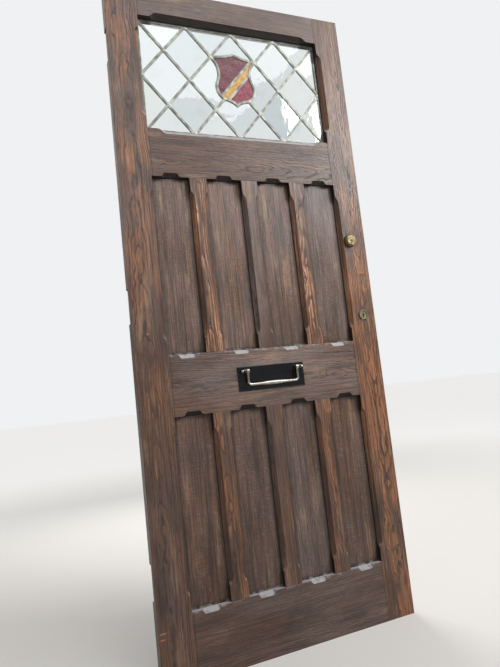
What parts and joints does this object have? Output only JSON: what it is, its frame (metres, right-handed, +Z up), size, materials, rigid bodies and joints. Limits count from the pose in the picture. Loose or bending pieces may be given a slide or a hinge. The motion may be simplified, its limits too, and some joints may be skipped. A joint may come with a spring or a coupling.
{
  "type": "panelled entrance door leaf",
  "caption": "Dark oak entrance door leaf with tall panels between stop-chamfered muntins, a leaded light with a shield, a letter plate with a bail pull, and two locks.",
  "frame": {"origin": "middle of the leaf's bottom edge, halfway through its thickness", "axes": "+X from the hinge edge to the lock edge, +Y from the outer face to the inner face, +Z up"},
  "size_m": [0.827, 0.1144, 2.032],
  "materials": {
    "oak": "dark stained, open grain",
    "lead": "dull lead grey",
    "clear_glass": "clear, slightly uneven",
    "ruby_glass": "ruby, wrinkled",
    "amber_glass": "amber, mottled",
    "black_plate": "gloss black",
    "polished_steel": "polished, tarnished",
    "brass": "worn and dull",
    "latch_enamel": "dark enamel",
    "steel": "bright zinc"
  },
  "bodies": {
    "leaf": {"hinge_stile": "oak", "lock_stile": "oak", "top_rail": "oak", "frieze_rail": "oak", "lock_rail": "oak", "bottom_rail": "oak", "tenon_wedges": "oak", "glazing_beads": "oak", "lower_muntin_1": "oak", "lower_muntin_2": "oak", "lower_muntin_3": "oak", "upper_muntin_1": "oak", "upper_muntin_2": "oak", "upper_muntin_3": "oak", "lower_panel_1": "oak", "lower_panel_2": "oak", "lower_panel_3": "oak", "lower_panel_4": "oak", "upper_panel_1": "oak", "upper_panel_2": "oak", "upper_panel_3": "oak", "upper_panel_4": "oak", "lead_cames": "lead", "clear_quarries": "clear_glass", "ruby_glass": "ruby_glass", "amber_bend": "amber_glass", "letter_plate": "black_plate", "flap_pin": "steel", "bail_pins": "polished_steel", "letter_plate_washers": "steel", "letter_plate_screws": "steel", "cylinder_ring": "brass", "cylinder_body": "brass", "cylinder_link_screws": "steel", "latch_mount_plate": "steel", "latch_plate_screws": "steel", "latch_case": "latch_enamel", "latch_case_screws": "brass", "deadlock_case": "steel", "deadlock_cap": "steel", "deadlock_forend": "brass", "forend_screws": "brass", "outer_escutcheon": "brass", "inner_escutcheon": "brass"},
    "bail": {"bail_pull": "polished_steel"},
    "flap": {"letter_flap": "black_plate"},
    "spindle": {"cylinder_plug": "brass", "latch_cam": "steel", "latch_knob": "brass"},
    "latch": {"latch_bolt": "brass"},
    "snib_slide": {"snib": "brass"},
    "dead_bolt": {"deadbolt": "brass"}
  },
  "joints": [
    {"name": "bail_swing", "type": "hinge", "parent": "leaf", "child": "bail", "pos_m": [0.003, -0.0365, 0.818], "axis": [-1, 0, 0], "range_deg": [-5, 110]},
    {"name": "flap_swing", "type": "hinge", "parent": "leaf", "child": "flap", "pos_m": [0.003, -0.0189, 0.8165], "axis": [1, 0, 0], "range_deg": [0, 80], "stiffness_Nm_per_rad": 0.03, "springref_deg": -22.92},
    {"name": "spindle_turn", "type": "hinge", "parent": "leaf", "child": "spindle", "pos_m": [0.3465, 0.04, 1.2195], "axis": [0, -1, 0], "range_deg": [0, 70]},
    {"name": "latch_slide", "type": "slide", "parent": "leaf", "child": "latch", "axis": [-1, 0, 0], "range_m": [0, 0.01376], "stiffness_N_per_m": 350, "springref_m": -0.012},
    {"name": "snib_slide", "type": "slide", "parent": "leaf", "child": "snib_slide", "axis": [0, 0, 1], "range_m": [0, 0.008]},
    {"name": "deadbolt_throw", "type": "slide", "parent": "leaf", "child": "dead_bolt", "axis": [1, 0, 0], "range_m": [0, 0.013]}
  ],
  "couplings": [
    {"joint": "spindle_turn", "follows": "latch_slide", "rad_per_m": 88.75}
  ]
}
